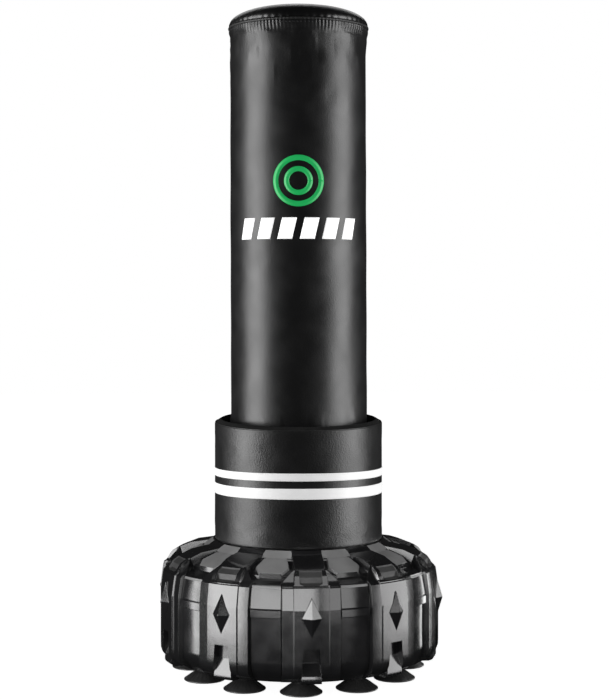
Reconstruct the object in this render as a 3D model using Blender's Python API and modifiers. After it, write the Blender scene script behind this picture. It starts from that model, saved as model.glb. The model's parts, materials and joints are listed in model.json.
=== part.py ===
"""A free-standing spring reflex bag, as separate parts in metres, +Z up.

The origin is on the floor, on the bag's axis. -Y is the front. A hollow tank stands on suction cups and holds a
short post. A coil spring on the post carries the padded bag, which leans about the spring's middle, inside a
padded collar that stays on the tank.
"""

import math

import bmesh
import bpy
from mathutils import Matrix, Vector

# Overall sizes
HEIGHT = 1.380
BAG_RADIUS = 0.1425
COLLAR_RADIUS = 0.1755
BASE_RADIUS = 0.304

# Running gap between parts that rest on each other, and the facets in a full turn of a round part
GAP = 0.0003
STEPS = 32

# Levels above the floor
TANK_FLOOR_Z = 0.027
DECK_Z = 0.270
COLLAR_TOP_Z = 0.512
BAG_FOOT_Z = 0.482
PIVOT_Z = COLLAR_TOP_Z
BAG_TOP_Z = 1.318
SEAM_Z = 1.338

# Tank: its ribs have a raised face with a diamond on it
RIB_COUNT = 10
PANEL_RADIUS = 0.283
RIB_RADIUS = 0.289
FACE_RADIUS = 0.2925
RIB_HALF_WIDTH = 0.057
RIB_DECK_HALF_WIDTH = 0.030
FACE_HALF_WIDTH = 0.032
SHOULDER_RADIUS = 0.234
SHOULDER_Z = 0.253
FACE_TOP_Z = 0.216
RIB_FOOT_Z = 0.0505
PAD_HALF_WIDTH = 0.023
DIAMOND_Z = 0.158
DIAMOND_HALF_HEIGHT = 0.038
DIAMOND_HALF_WIDTH = 0.019
ARCH_TOP_Z = 0.098
TANK_WALL = 0.008

# Suction cups and the studs that hold them
CUP_COUNT = 12
CUP_CIRCLE = 0.222
CUP_RADIUS = 0.042
CUP_TURN_DEG = -3.7
CUP_SOCKET_Z = 0.015
STUD_RADIUS = 0.004
STUD_TOP_Z = 0.048
STUD_FIT = 0.0006
STUD_RIDGE = 0.020

# Collar
COLLAR_INNER = 0.1545
COLLAR_SKIN = 0.0018
COLLAR_EDGE = 0.005
STRIPES = {"collar_stripe_upper": (0.4025, 0.4195), "collar_stripe_lower": (0.3662, 0.3892)}
STRIPE_THICKNESS = 0.0008
FLAP_THICKNESS = 0.0016
FLAP_HALF_ANGLE_DEG = 6.0

# Spring unit, measured from the pivot, and the post and pole it joins
SPRING_HALF_LENGTH = 0.0575
SPRING_RADIUS = 0.0365
WIRE_RADIUS = 0.0055
SPRING_TURNS = 5.5
SEAT_RADIUS = 0.044
SEAT_THICKNESS = 0.008
SPIGOT_RADIUS = 0.0285
SPIGOT_LENGTH = 0.0275
BUFFER_RADIUS = 0.027
TUBE_RADIUS = 0.030
TUBE_BORE = 0.0265
SOCKET_DEPTH = 0.035
CROSS_BOLT_RADIUS = 0.004
CROSS_BOLT_HEAD = 0.0068

# Flange under the post, and the thick pad in the tank's roof that takes its bolts
FLANGE_RADIUS = 0.080
FLANGE_THICKNESS = 0.008
FLANGE_PAD_RADIUS = 0.096
FLANGE_PAD_Z = 0.228
BOLT_CIRCLE = 0.064
BOLT_RADIUS = 0.005
BOLT_HEAD = 0.0095
BOLT_FIT = 0.0004
BOLT_LENGTH = 0.038

# Bag
SKIN = 0.002
CORE_RADIUS = 0.0625
CORE_BORE = 0.0575
FOOT_BORE = 0.076
BOARD = 0.008
HEM = 0.022
RIM_RADIUS = BAG_RADIUS + 0.0035
RIM_TAPER = 0.024
WELT_RADIUS = 0.0028
SPACERS = {"pole_spacer_lower": 0.640, "pole_spacer_upper": 1.255}
SPACER_THICKNESS = 0.018

# Filler, on the deck at the back
FILL_CENTRE = Vector((0.0, 0.209, 0.0))
FILL_HOLE = 0.018
FILL_FIT = 0.0006
FILL_BOSS = 0.027
FILL_TOP_Z = 0.2715
GASKET = 0.002
PLUG_CAP = 0.006
PLUG_STEM = 0.012


def clear_scene():
    for obj in list(bpy.data.objects):
        bpy.data.objects.remove(obj, do_unlink=True)


def new_collection(name):
    made = bpy.data.collections.new(name)
    bpy.context.scene.collection.children.link(made)
    return made


clear_scene()
PARTS = new_collection("spring_reflex_bag")
HELPERS = new_collection("cutters")


def new_material(name, colour, roughness, metallic=0.0):
    made = bpy.data.materials.new(name)
    made.use_nodes = True
    shader = made.node_tree.nodes["Principled BSDF"]
    shader.inputs["Base Color"].default_value = (*colour, 1.0)
    shader.inputs["Roughness"].default_value = roughness
    shader.inputs["Metallic"].default_value = metallic
    return made


TANK_PLASTIC = new_material("tank_plastic", (0.020, 0.020, 0.021), 0.28)
CUP_RUBBER = new_material("cup_rubber", (0.012, 0.012, 0.012), 0.45)
BAG_LEATHER = new_material("bag_leather", (0.016, 0.016, 0.017), 0.42)
COLLAR_LEATHER = new_material("collar_leather", (0.018, 0.018, 0.019), 0.50)
WHITE_TAPE = new_material("white_tape", (0.88, 0.88, 0.88), 0.45)
FOAM = new_material("foam", (0.30, 0.30, 0.31), 0.95)
BOARDING = new_material("boarding", (0.42, 0.30, 0.18), 0.80)
STEEL = new_material("steel", (0.55, 0.56, 0.58), 0.35, 1.0)
BLACK_STEEL = new_material("black_steel", (0.03, 0.03, 0.032), 0.40, 0.6)
SPRING_STEEL = new_material("spring_steel", (0.20, 0.20, 0.22), 0.35, 0.9)
BUFFER_RUBBER = new_material("buffer_rubber", (0.35, 0.05, 0.03), 0.50)
PLUG_PLASTIC = new_material("plug_plastic", (0.03, 0.03, 0.03), 0.40)


def new_object(name, mesh, material=None):
    """A part where a material is given, or a helper that stays out of renders."""
    made = bpy.data.objects.new(name, mesh)
    if material:
        PARTS.objects.link(made)
        mesh.materials.append(material)
    else:
        HELPERS.objects.link(made)
        made.hide_render = True
        made.display_type = "WIRE"
    return made


def turned(name, profile, material=None, steps=STEPS):
    """A solid of revolution about Z. The profile runs (radius, z) from the top, out, down and back in."""
    ends = list(range(len(profile)))
    closed = profile[0][0] > 0
    edges = list(zip(ends, ends[1:] + ([0] if closed else [])))
    mesh = bpy.data.meshes.new(name)
    mesh.from_pydata([(r, 0.0, z) for r, z in profile], edges, [])
    made = new_object(name, mesh, material)
    screw = made.modifiers.new("turn", "SCREW")
    screw.steps = steps
    screw.render_steps = steps
    screw.use_merge_vertices = True
    screw.merge_threshold = 0.00001
    return made


def ring(outer, inner, low, high):
    """The profile of a plain ring."""
    return [(inner, high), (outer, high), (outer, low), (inner, low)]


def disc(radius, low, high):
    """The profile of a plain disc."""
    return [(0.0, high), (radius, high), (radius, low), (0.0, low)]


def dome(radius, low, high, points):
    """A quarter of an ellipse from the axis at the top, down to its rim, as a profile."""
    angles = [math.pi / 2 * i / points for i in range(points + 1)]
    return [(radius * math.sin(angle), low + (high - low) * math.cos(angle)) for angle in angles]


def rod(segments, radius, low, high, centre=(0.0, 0.0), radius_high=None):
    """An upright capped cylinder, or a cone where the top has its own radius, as a bmesh."""
    shape = bmesh.new()
    bmesh.ops.create_cone(
        shape,
        cap_ends=True,
        segments=segments,
        radius1=radius,
        radius2=radius if radius_high is None else radius_high,
        depth=high - low,
        matrix=Matrix.Translation((centre[0], centre[1], (low + high) / 2)),
    )
    return shape


def as_mesh(name, shape):
    mesh = bpy.data.meshes.new(name)
    shape.to_mesh(mesh)
    shape.free()
    return mesh


def evaluated_mesh(obj):
    bpy.context.view_layer.update()
    graph = bpy.context.evaluated_depsgraph_get()
    return bpy.data.meshes.new_from_object(obj.evaluated_get(graph))


def slab(outline, half_width):
    """A flat outline of (radius, z) points, as a block that far to each side of the XZ plane."""
    curve = bpy.data.curves.new("outline", "CURVE")
    curve.dimensions = "2D"
    curve.fill_mode = "BOTH"
    curve.extrude = half_width
    spline = curve.splines.new("POLY")
    spline.points.add(len(outline) - 1)
    for point, (r, z) in zip(spline.points, outline):
        point.co = (r, z, 0.0, 1.0)
    spline.use_cyclic_u = True
    flat = bpy.data.objects.new("outline", curve)
    HELPERS.objects.link(flat)
    shape = bmesh.new()
    shape.from_mesh(evaluated_mesh(flat))
    bmesh.ops.remove_doubles(shape, verts=shape.verts, dist=0.00001)
    bmesh.ops.recalc_face_normals(shape, faces=shape.faces)
    shape.transform(Matrix.Rotation(math.radians(90), 4, "X"))
    bpy.data.objects.remove(flat)
    return shape


def around(name, shape, count, start_deg=0.0):
    """Copies of a bmesh built along +X, evenly spaced about Z from the front, as one helper object."""
    one = as_mesh(name, shape)
    every = bmesh.new()
    for i in range(count):
        copy = one.copy()
        copy.transform(Matrix.Rotation(math.radians(start_deg - 90 + i * 360 / count), 4, "Z"))
        every.from_mesh(copy)
        bpy.data.meshes.remove(copy)
    bpy.data.meshes.remove(one)
    return new_object(name, as_mesh(name, every))


def combine(target, operation, other):
    made = target.modifiers.new(other.name, "BOOLEAN")
    made.operation = operation
    made.solver = "EXACT"
    made.object = other


def direction(angle_deg):
    """The outward direction at an angle turned from the front."""
    angle = math.radians(angle_deg - 90)
    return Vector((math.cos(angle), math.sin(angle), 0.0))


# ---------------------------------------------------------------- tank


def rib_deck_outline():
    """The narrow part of a rib in side view, across the deck and over the shoulder."""
    return [
        (0.182, 0.225),
        (0.182, DECK_Z - 0.0035),
        (SHOULDER_RADIUS, SHOULDER_Z + 0.002),
        (0.255, 0.243),
        (0.270, 0.232),
        (0.278, 0.215),
        (0.260, 0.200),
        (0.225, 0.215),
    ]


def rib_outline():
    """The wide part of a rib in side view, from under the shoulder down to its foot."""
    return [
        (0.262, 0.231),
        (RIB_RADIUS - 0.013, 0.214),
        (RIB_RADIUS, 0.180),
        (RIB_RADIUS, 0.063),
        (RIB_RADIUS - 0.006, RIB_FOOT_Z),
        (0.262, RIB_FOOT_Z),
    ]


def face_outline():
    """The raised face down the middle of a rib, in side view."""
    return [
        (0.265, FACE_TOP_Z),
        (FACE_RADIUS - 0.015, FACE_TOP_Z),
        (FACE_RADIUS, 0.180),
        (FACE_RADIUS, 0.064),
        (FACE_RADIUS - 0.005, RIB_FOOT_Z + 0.0025),
        (0.265, RIB_FOOT_Z + 0.0025),
    ]


def pad_outline():
    """The pad on the deck between two ribs, in side view. It lies lower than the ribs."""
    return [
        (0.199, 0.235),
        (0.199, 0.2570),
        (0.230, 0.2446),
        (0.247, 0.2345),
        (0.247, 0.222),
        (0.225, 0.222),
    ]


def arch_shape():
    """The tapered slot at a rib's foot, wider at the bottom."""
    shape = rod(4, 0.0255, 0.030, ARCH_TOP_Z, radius_high=0.016)
    bmesh.ops.rotate(shape, verts=shape.verts, matrix=Matrix.Rotation(math.radians(45), 3, "Z"))
    bmesh.ops.translate(shape, verts=shape.verts, vec=(FACE_RADIUS + 0.0065, 0, 0))
    return shape


def diamond_shape():
    """A four-sided pyramid that points outwards from a rib's face."""
    sink = 0.002
    shape = rod(4, 1.0, 0.0, 1.0, radius_high=0.0)
    turn = Matrix.Rotation(math.radians(90), 4, "Y")
    size = Matrix.Diagonal((BASE_RADIUS - FACE_RADIUS + sink, DIAMOND_HALF_WIDTH, DIAMOND_HALF_HEIGHT, 1.0))
    place = Matrix.Translation((FACE_RADIUS - sink, 0.0, DIAMOND_Z))
    bmesh.ops.transform(shape, matrix=place @ size @ turn, verts=shape.verts)
    return shape


def tank_profile():
    return [
        (0.0, DECK_Z),
        (0.180, DECK_Z),
        (0.186, DECK_Z - 0.0045),
        (0.197, 0.2545),
        (0.230, 0.2410),
        (0.246, 0.2305),
        (0.252, 0.2235),
        (0.270, 0.2165),
        (0.277, 0.2110),
        (0.281, 0.180),
        (PANEL_RADIUS, 0.145),
        (PANEL_RADIUS, 0.070),
        (0.278, 0.050),
        (0.267, 0.035),
        (0.256, TANK_FLOOR_Z),
        (0.0, TANK_FLOOR_Z),
    ]


def hollow_profile():
    """The space for water or sand, round a thick pad for the flange bolts and over a ridge for the cup studs."""
    ceiling = DECK_Z - TANK_WALL
    floor = TANK_FLOOR_Z + TANK_WALL
    wall = PANEL_RADIUS - TANK_WALL
    ridge_z = floor + STUD_RIDGE
    return [
        (0.0, FLANGE_PAD_Z),
        (FLANGE_PAD_RADIUS - TANK_WALL, FLANGE_PAD_Z),
        (FLANGE_PAD_RADIUS, ceiling),
        (0.176, ceiling),
        (0.188, 0.2475),
        (0.222, 0.2345),
        (0.245, 0.2195),
        (0.258, 0.203),
        (wall, 0.160),
        (wall, 0.075),
        (0.262, 0.046),
        (CUP_CIRCLE + 0.024, floor),
        (CUP_CIRCLE + 0.019, ridge_z),
        (CUP_CIRCLE - 0.019, ridge_z),
        (CUP_CIRCLE - 0.024, floor),
        (0.0, floor),
    ]


def make_tank():
    tank = turned("base_tank", tank_profile(), TANK_PLASTIC, steps=40)
    between = 180 / RIB_COUNT
    boss = rod(24, FILL_BOSS, 0.245, FILL_TOP_Z, FILL_CENTRE)
    filler = rod(24, FILL_HOLE, 0.200, 0.300, FILL_CENTRE)
    stud = rod(10, STUD_RADIUS + STUD_FIT, 0.020, STUD_TOP_Z + 0.002, (CUP_CIRCLE, 0.0))
    bolt = rod(12, BOLT_RADIUS + BOLT_FIT, 0.238, 0.300, (BOLT_CIRCLE, 0.0))
    combine(tank, "UNION", around("ribs", slab(rib_outline(), RIB_HALF_WIDTH), RIB_COUNT))
    combine(tank, "UNION", around("rib_decks", slab(rib_deck_outline(), RIB_DECK_HALF_WIDTH), RIB_COUNT))
    combine(tank, "UNION", around("faces", slab(face_outline(), FACE_HALF_WIDTH), RIB_COUNT))
    combine(tank, "UNION", around("pads", slab(pad_outline(), PAD_HALF_WIDTH), RIB_COUNT, between))
    combine(tank, "UNION", around("diamonds", diamond_shape(), RIB_COUNT))
    combine(tank, "DIFFERENCE", around("arches", arch_shape(), RIB_COUNT))
    combine(tank, "UNION", new_object("filler_boss", as_mesh("filler_boss", boss)))
    combine(tank, "DIFFERENCE", turned("hollow", hollow_profile()))
    combine(tank, "DIFFERENCE", new_object("filler_bore", as_mesh("filler_bore", filler)))
    combine(tank, "DIFFERENCE", around("stud_bores", stud, CUP_COUNT, CUP_TURN_DEG))
    combine(tank, "DIFFERENCE", around("bolt_bores", bolt, 4, 45))


def make_cups():
    """Each rubber cup has a flat rim on the floor, a hollow underside and a socket for its stud."""
    neck = TANK_FLOOR_Z - GAP
    socket = STUD_RADIUS + STUD_FIT
    profile = [
        (0.0, CUP_SOCKET_Z),
        (socket, CUP_SOCKET_Z),
        (socket, neck),
        (0.013, neck),
        (0.014, 0.0195),
        (CUP_RADIUS, 0.003),
        (CUP_RADIUS, 0.0),
        (CUP_RADIUS - 0.006, 0.0),
        (0.0, 0.0085),
    ]
    for i in range(CUP_COUNT):
        place = direction(CUP_TURN_DEG + i * 360 / CUP_COUNT) * CUP_CIRCLE
        cup = turned(f"suction_cup_{i + 1:02d}", profile, CUP_RUBBER, steps=14)
        cup.location = place
        stud = as_mesh("cup_stud", rod(8, STUD_RADIUS, CUP_SOCKET_Z + GAP, STUD_TOP_Z))
        new_object(f"cup_stud_{i + 1:02d}", stud, STEEL).location = place


# ---------------------------------------------------------------- post and spring unit


def seat_profile(up, face_z):
    """A plate whose face carries the coil, with a spigot inside the coil and a plug inside the tube.

    up is 1 for the lower seat and -1 for the upper one, which is the same piece the other way up.
    """
    spigot_z = face_z + up * SPIGOT_LENGTH
    back_z = face_z - up * SEAT_THICKNESS
    plug_z = back_z - up * SOCKET_DEPTH
    plug_radius = TUBE_BORE - GAP
    points = [
        (0.0, spigot_z),
        (SPIGOT_RADIUS, spigot_z),
        (SPIGOT_RADIUS, face_z),
        (SEAT_RADIUS, face_z),
        (SEAT_RADIUS, back_z),
        (plug_radius, back_z),
        (plug_radius, plug_z),
        (0.0, plug_z),
    ]
    return points if up > 0 else points[::-1]


def bolt_profile(radius, head_radius, under_head, length):
    head_top = under_head + radius * 1.3
    tip = under_head - length
    return [
        (0.0, head_top),
        (head_radius, head_top),
        (head_radius, under_head),
        (radius, under_head),
        (radius, tip),
        (0.0, tip),
    ]


def cross_bolt(name, z, through):
    """A bolt across a tube and the plug inside it, with the bore it needs through both."""
    under_head = TUBE_RADIUS + 0.0012
    length = under_head + TUBE_RADIUS + 0.006
    lie_down = Matrix.Translation((0, 0, z)) @ Matrix.Rotation(math.radians(90), 4, "Y")
    bore = rod(12, CROSS_BOLT_RADIUS + GAP, -0.05, 0.05)
    cutter = new_object(name + "_bore", as_mesh(name + "_bore", bore))
    cutter.matrix_world = lie_down
    for part in through:
        combine(part, "DIFFERENCE", cutter)
    made = turned(name, bolt_profile(CROSS_BOLT_RADIUS, CROSS_BOLT_HEAD, under_head, length), STEEL, steps=12)
    made.matrix_world = lie_down
    return made


def make_post():
    flange_low = DECK_Z + GAP
    flange_high = flange_low + FLANGE_THICKNESS
    face_z = PIVOT_Z - SPRING_HALF_LENGTH
    post_top = face_z - SEAT_THICKNESS - GAP
    flange = turned("post_flange", disc(FLANGE_RADIUS, flange_low, flange_high), BLACK_STEEL)
    bore = rod(12, BOLT_RADIUS + BOLT_FIT, 0.25, 0.30, (BOLT_CIRCLE, 0.0))
    combine(flange, "DIFFERENCE", around("flange_bores", bore, 4, 45))
    post = turned("base_post", ring(TUBE_RADIUS, TUBE_BORE, flange_high + GAP, post_top), BLACK_STEEL)
    lower_seat = turned("lower_spring_seat", seat_profile(1, face_z), BLACK_STEEL)
    cross_bolt("post_cross_bolt", post_top - SOCKET_DEPTH / 2, (post, lower_seat))
    for i in range(4):
        profile = bolt_profile(BOLT_RADIUS, BOLT_HEAD, flange_high + GAP, BOLT_LENGTH)
        bolt = turned(f"flange_bolt_{i + 1}", profile, STEEL, steps=6)
        bolt.location = direction(45 + i * 90) * BOLT_CIRCLE


def coil_points():
    """The wire's centre line: a closed turn at each end and an even rise between them."""
    per_turn = 14
    count = int(SPRING_TURNS * per_turn)
    span = 2 * (SPRING_HALF_LENGTH - WIRE_RADIUS - GAP)
    end_rise = 2 * WIRE_RADIUS + 0.0008
    middle_rise = (span - 2 * end_rise) / (SPRING_TURNS - 2)
    for i in range(count + 1):
        turns = i / per_turn
        end_turns = min(turns, 1.0) + max(turns - (SPRING_TURNS - 1), 0.0)
        angle = 2 * math.pi * turns
        z = PIVOT_Z - span / 2 + end_turns * end_rise + (turns - end_turns) * middle_rise
        yield (SPRING_RADIUS * math.cos(angle), SPRING_RADIUS * math.sin(angle), z)


def make_spring():
    curve = bpy.data.curves.new("main_spring", "CURVE")
    curve.dimensions = "3D"
    curve.bevel_depth = WIRE_RADIUS
    curve.bevel_resolution = 2
    curve.use_fill_caps = True
    curve.materials.append(SPRING_STEEL)
    points = list(coil_points())
    spline = curve.splines.new("POLY")
    spline.points.add(len(points) - 1)
    for point, place in zip(spline.points, points):
        point.co = (*place, 1.0)
    made = bpy.data.objects.new("main_spring", curve)
    PARTS.objects.link(made)
    return made


def make_buffer():
    """The rubber column between the two spigots, with a waist where it bends."""
    reach = SPRING_HALF_LENGTH - SPIGOT_LENGTH - GAP
    profile = [
        (0.0, PIVOT_Z + reach),
        (BUFFER_RADIUS, PIVOT_Z + reach),
        (BUFFER_RADIUS, PIVOT_Z + reach * 0.6),
        (BUFFER_RADIUS - 0.004, PIVOT_Z),
        (BUFFER_RADIUS, PIVOT_Z - reach * 0.6),
        (BUFFER_RADIUS, PIVOT_Z - reach),
        (0.0, PIVOT_Z - reach),
    ]
    return turned("buffer_core", profile, BUFFER_RUBBER, steps=20)


# ---------------------------------------------------------------- collar


def make_collar():
    low = DECK_Z + GAP
    board_top = low + 0.004
    outer, inner, top = COLLAR_RADIUS, COLLAR_INNER, COLLAR_TOP_Z
    edge, skin = COLLAR_EDGE, COLLAR_SKIN
    cover = [
        (inner + edge, top),
        (outer - edge, top),
        (outer, top - edge),
        (outer, low),
        (outer - skin, low),
        (outer - skin, top - edge),
        (outer - edge, top - skin),
        (inner + edge, top - skin),
        (inner + skin, top - edge),
        (inner + skin, low),
        (inner, low),
        (inner, top - edge),
    ]
    turned("collar_cover", cover, COLLAR_LEATHER)

    fit = skin + GAP
    turned("collar_base_ring", ring(outer - fit, inner + fit, low, board_top), PLUG_PLASTIC)
    foam = [
        (inner + fit + 0.004, top - fit - GAP),
        (outer - fit - 0.004, top - fit - GAP),
        (outer - fit, top - 0.008),
        (outer - fit, board_top + GAP),
        (inner + fit, board_top + GAP),
        (inner + fit, top - 0.008),
    ]
    turned("collar_foam", foam, FOAM)
    for name, (stripe_low, stripe_high) in STRIPES.items():
        profile = ring(outer + GAP + STRIPE_THICKNESS, outer + GAP, stripe_low, stripe_high)
        turned(name, profile, WHITE_TAPE)


def make_collar_flap():
    """The hook-and-loop flap that closes the collar at the back: a strip bent to its radius."""
    radius = COLLAR_RADIUS + STRIPE_THICKNESS + 3 * GAP
    low = DECK_Z + 0.006
    high = COLLAR_TOP_Z - 0.010
    steps = 6
    shape = bmesh.new()
    verts = []
    for i in range(steps + 1):
        place = direction(180 + FLAP_HALF_ANGLE_DEG * (2 * i / steps - 1)) * radius
        verts.append(shape.verts.new((place.x, place.y, low)))
    edges = [shape.edges.new(pair) for pair in zip(verts, verts[1:])]
    risen = bmesh.ops.extrude_edge_only(shape, edges=edges)["geom"]
    lifted = [item for item in risen if isinstance(item, bmesh.types.BMVert)]
    bmesh.ops.translate(shape, verts=lifted, vec=(0, 0, high - low))
    mesh = as_mesh("collar_flap", shape)
    faces_out = mesh.polygons[0].normal.y > 0
    thickness = new_object("collar_flap", mesh, COLLAR_LEATHER).modifiers.new("thickness", "SOLIDIFY")
    thickness.thickness = FLAP_THICKNESS
    thickness.offset = 1.0 if faces_out else -1.0


# ---------------------------------------------------------------- bag


def make_bag_frame():
    """The steel pole from the upper seat to the bag's top, and the rings that centre the bag's core on it."""
    face_z = PIVOT_Z + SPRING_HALF_LENGTH
    pole_low = face_z + SEAT_THICKNESS + GAP
    pole_high = BAG_TOP_Z - 0.020
    plug_radius = TUBE_BORE - GAP
    upper = turned("upper_spring_seat", seat_profile(-1, face_z), BLACK_STEEL)
    pole = turned("bag_pole", ring(TUBE_RADIUS, TUBE_BORE, pole_low, pole_high), STEEL)
    bolt = cross_bolt("pole_cross_bolt", pole_low + SOCKET_DEPTH / 2, (pole, upper))
    cap_profile = [
        (0.0, pole_high + 0.004),
        (TUBE_RADIUS, pole_high + 0.004),
        (TUBE_RADIUS, pole_high + GAP),
        (plug_radius, pole_high + GAP),
        (plug_radius, pole_high - 0.020),
        (0.0, pole_high - 0.020),
    ]
    cap = turned("pole_end_cap", cap_profile, PLUG_PLASTIC)
    spacers = []
    for name, low in SPACERS.items():
        profile = ring(CORE_BORE - GAP, TUBE_RADIUS + GAP, low, low + SPACER_THICKNESS)
        spacers.append(turned(name, profile, PLUG_PLASTIC))
    return [upper, pole, bolt, cap, *spacers]


def make_bag_padding():
    foot_low = BAG_FOOT_Z + SKIN + GAP
    foot_high = foot_low + BOARD
    inside = BAG_RADIUS - SKIN - GAP
    pad_low = BAG_TOP_Z + BOARD + GAP
    pad = dome(inside, SEAM_Z, HEIGHT - SKIN - 0.0008, 6)
    return [
        turned("bag_foot_board", ring(inside, FOOT_BORE, foot_low, foot_high), BOARDING),
        turned("bag_core", ring(CORE_RADIUS, CORE_BORE, foot_high + GAP, BAG_TOP_Z), PLUG_PLASTIC),
        turned("bag_foam", ring(inside, CORE_RADIUS + 2 * GAP, foot_high + GAP, BAG_TOP_Z), FOAM),
        turned("top_board", disc(inside, BAG_TOP_Z + GAP, BAG_TOP_Z + BOARD), BOARDING),
        turned("top_pad", pad + [(inside, pad_low), (0.0, pad_low)], FOAM),
    ]


def make_bag_covers():
    """The domed top, the piping in the seam below it, and the tube that hangs from the seam."""
    outside = dome(RIM_RADIUS, SEAM_Z, HEIGHT, 7)
    inside = dome(RIM_RADIUS - SKIN - 0.0015, SEAM_Z, HEIGHT - SKIN, 7)
    top = turned("top_cover", outside + inside[::-1], BAG_LEATHER)

    welt_z = SEAM_Z - WELT_RADIUS - GAP
    welt_centre = RIM_RADIUS - 0.0016
    sides = 6
    welt_profile = []
    for i in range(sides):
        angle = math.pi / 2 - 2 * math.pi * i / sides
        welt_profile.append((welt_centre + WELT_RADIUS * math.cos(angle), welt_z + WELT_RADIUS * math.sin(angle)))
    welt = turned("top_welt", welt_profile, BAG_LEATHER)

    high = welt_z - WELT_RADIUS - GAP
    tube_profile = [
        (RIM_RADIUS - SKIN, high),
        (RIM_RADIUS, high),
        (BAG_RADIUS, high - RIM_TAPER),
        (BAG_RADIUS, BAG_FOOT_Z + SKIN),
        (BAG_RADIUS - SKIN, BAG_FOOT_Z),
        (BAG_RADIUS - HEM, BAG_FOOT_Z),
        (BAG_RADIUS - HEM, BAG_FOOT_Z + SKIN),
        (BAG_RADIUS - SKIN, BAG_FOOT_Z + SKIN),
        (BAG_RADIUS - SKIN, high - RIM_TAPER),
    ]
    tube = turned("bag_cover", tube_profile, BAG_LEATHER)
    return [top, welt, tube]


# ---------------------------------------------------------------- filler


def make_filler():
    gasket_low = FILL_TOP_Z + GAP
    cap_low = gasket_low + GASKET + GAP
    cap_high = cap_low + PLUG_CAP
    stem_radius = FILL_HOLE - FILL_FIT
    gasket_profile = ring(FILL_BOSS - 0.003, FILL_HOLE + GAP, gasket_low, gasket_low + GASKET)
    gasket = turned("fill_gasket", gasket_profile, CUP_RUBBER, steps=20)
    gasket.location = FILL_CENTRE
    plug_profile = [
        (0.0, cap_high),
        (FILL_BOSS - 0.004, cap_high),
        (FILL_BOSS - 0.001, cap_high - 0.003),
        (FILL_BOSS - 0.001, cap_low),
        (stem_radius, cap_low),
        (stem_radius, cap_low - PLUG_STEM),
        (0.0, cap_low - PLUG_STEM),
    ]
    plug = turned("fill_plug", plug_profile, PLUG_PLASTIC, steps=20)
    plug.location = FILL_CENTRE
    bar = bmesh.new()
    bmesh.ops.create_cube(bar, size=1.0, matrix=Matrix.Diagonal((0.036, 0.007, 0.012, 1.0)))
    grip = new_object("plug_grip", as_mesh("plug_grip", bar))
    grip.location = FILL_CENTRE + Vector((0, 0, cap_high + 0.0035))
    combine(plug, "UNION", grip)


# ---------------------------------------------------------------- assembly


def hang_on_pivot(parts):
    """An empty at the spring's middle that carries everything that leans."""
    pivot = bpy.data.objects.new("lean_pivot", None)
    pivot.location = (0.0, 0.0, PIVOT_Z)
    PARTS.objects.link(pivot)
    bpy.context.view_layer.update()
    for part in parts:
        part.parent = pivot
        part.matrix_parent_inverse = pivot.matrix_world.inverted()


def shade_round_parts():
    """Fix each part's shape and shade it smooth, but for its real edges."""
    for part in PARTS.objects:
        if part.type != "MESH":
            continue
        finished = evaluated_mesh(part)
        part.modifiers.clear()
        part.data = finished
        finished.shade_smooth()
        finished.set_sharp_from_angle(angle=math.radians(30))


make_tank()
make_cups()
make_post()
make_collar()
make_collar_flap()
make_filler()
leaning = [make_spring(), make_buffer()]
leaning += make_bag_frame()
leaning += make_bag_padding()
leaning += make_bag_covers()
hang_on_pivot(leaning)
shade_round_parts()
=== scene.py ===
"""The looks of the spring reflex bag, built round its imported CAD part.

Soft skins, the moulded tank, the cups, the spring and the small sewn parts are made here as detailed meshes.
The hidden steel, boards and padding keep the CAD shapes and only get new materials. Lengths are in metres,
+Z is up and -Y is the front.
"""

import json
import math

import bmesh
import bpy
import numpy as np
from mathutils import Matrix, Vector


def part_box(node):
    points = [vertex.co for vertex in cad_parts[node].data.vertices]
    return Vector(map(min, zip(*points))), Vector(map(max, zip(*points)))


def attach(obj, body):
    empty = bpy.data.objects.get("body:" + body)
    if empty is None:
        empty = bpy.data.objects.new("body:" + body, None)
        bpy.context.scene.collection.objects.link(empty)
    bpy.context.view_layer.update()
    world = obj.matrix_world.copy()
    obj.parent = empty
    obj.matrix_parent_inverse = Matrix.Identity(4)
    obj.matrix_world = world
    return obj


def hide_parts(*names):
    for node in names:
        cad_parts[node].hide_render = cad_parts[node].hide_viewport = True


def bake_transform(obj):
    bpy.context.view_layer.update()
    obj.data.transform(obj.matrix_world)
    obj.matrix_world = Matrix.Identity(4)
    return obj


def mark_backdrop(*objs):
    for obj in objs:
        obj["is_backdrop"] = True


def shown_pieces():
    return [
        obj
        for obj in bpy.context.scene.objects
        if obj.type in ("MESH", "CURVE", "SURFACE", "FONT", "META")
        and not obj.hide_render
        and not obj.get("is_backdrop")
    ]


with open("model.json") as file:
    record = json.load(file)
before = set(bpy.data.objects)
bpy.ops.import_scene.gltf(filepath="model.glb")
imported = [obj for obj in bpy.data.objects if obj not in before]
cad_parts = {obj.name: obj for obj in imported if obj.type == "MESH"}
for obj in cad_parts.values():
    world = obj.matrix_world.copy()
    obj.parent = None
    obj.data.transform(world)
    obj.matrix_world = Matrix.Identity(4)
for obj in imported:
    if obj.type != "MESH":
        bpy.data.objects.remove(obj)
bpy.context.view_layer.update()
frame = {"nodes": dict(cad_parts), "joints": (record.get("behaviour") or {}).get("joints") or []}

# Levels and radii, most of them read from the CAD part
RIM_SWELL = 0.0035
COLLAR_WALL = 0.021
TANK_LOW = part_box("base_tank")[0].z
COLLAR_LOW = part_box("collar_cover")[0].z
COLLAR_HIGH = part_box("collar_cover")[1].z
COLLAR_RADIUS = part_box("collar_cover")[1].x
BAG_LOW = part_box("bag_cover")[0].z
BAG_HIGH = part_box("bag_cover")[1].z
RIM_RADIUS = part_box("bag_cover")[1].x
BAG_RADIUS = RIM_RADIUS - RIM_SWELL
BAG_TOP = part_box("top_cover")[1].z
SEAM_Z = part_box("top_cover")[0].z
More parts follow.
